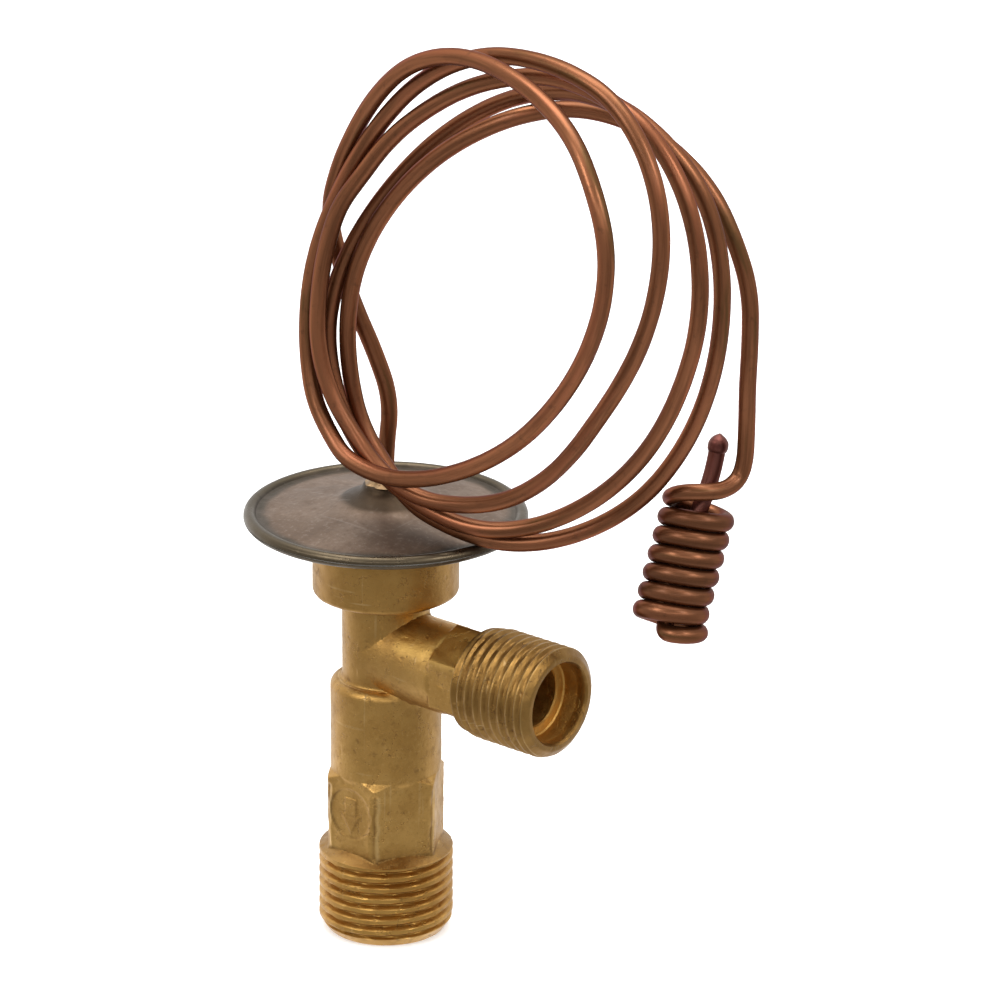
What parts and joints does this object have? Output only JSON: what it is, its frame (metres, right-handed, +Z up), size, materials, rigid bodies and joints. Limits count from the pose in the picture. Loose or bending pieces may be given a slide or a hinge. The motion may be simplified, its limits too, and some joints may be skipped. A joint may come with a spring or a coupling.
{
  "type": "expansion valve",
  "caption": "Angle-pattern expansion valve: forged brass body with threaded side inlet and bottom outlet, flat power head, and a copper tube wound into loose loops and a close sensing coil.",
  "frame": {"origin": "centre of the outlet's end face, on the valve's own axis", "axes": "+Z up the valve's own axis to the power head, +X along the side inlet"},
  "size_m": [0.0744, 0.0396, 0.135],
  "materials": {
    "forged_brass": "satin, forged, darkened with age",
    "turned_brass": "plain turned",
    "head_sheet": "pressed stainless sheet, tarnished",
    "thin_sheet": "plain rolled",
    "inner_steel": "plain turned",
    "spring_wire": "drawn wire",
    "seal_rubber": "matt",
    "solder": "dull brazed fillet",
    "aged_copper": "copper, oxidised brown-red",
    "bead_copper": "copper, heat-tinted"
  },
  "bodies": {
    "housing": {"valve_body": "forged_brass", "lower_cup": "head_sheet", "upper_cap": "head_sheet", "diaphragm": "thin_sheet", "head_spigot": "turned_brass", "head_seal": "seal_rubber", "braze_fillet": "solder", "capillary_tube": "aged_copper", "tip_bead": "bead_copper", "rod_guide": "turned_brass", "rod_oring": "seal_rubber", "superheat_spring": "spring_wire"},
    "valve_pin": {"thrust_pad": "inner_steel", "push_rod": "inner_steel", "valve_ball": "inner_steel", "ball_carrier": "turned_brass"},
    "spring_stop": {"spring_seat": "turned_brass"},
    "adjuster": {"adjusting_nut": "turned_brass"}
  },
  "joints": [
    {"name": "pin_travel", "type": "slide", "parent": "housing", "child": "valve_pin", "axis": [0, 0, -1], "range_m": [0, 0.0005], "stiffness_N_per_m": 6000, "springref_m": -0.002, "deforming": ["superheat_spring", "diaphragm"]},
    {"name": "nut_travel", "type": "slide", "parent": "housing", "child": "spring_stop", "axis": [0, 0, 1], "range_m": [-0.0015, 0.0015], "deforming": ["superheat_spring"]},
    {"name": "nut_turn", "type": "hinge", "parent": "spring_stop", "child": "adjuster", "pos_m": [0, 0, 0.0179], "axis": [0, 0, 1], "range_deg": [-540, 540]}
  ],
  "couplings": [
    {"joint": "nut_turn", "follows": "nut_travel", "rad_per_m": 6283.2}
  ]
}
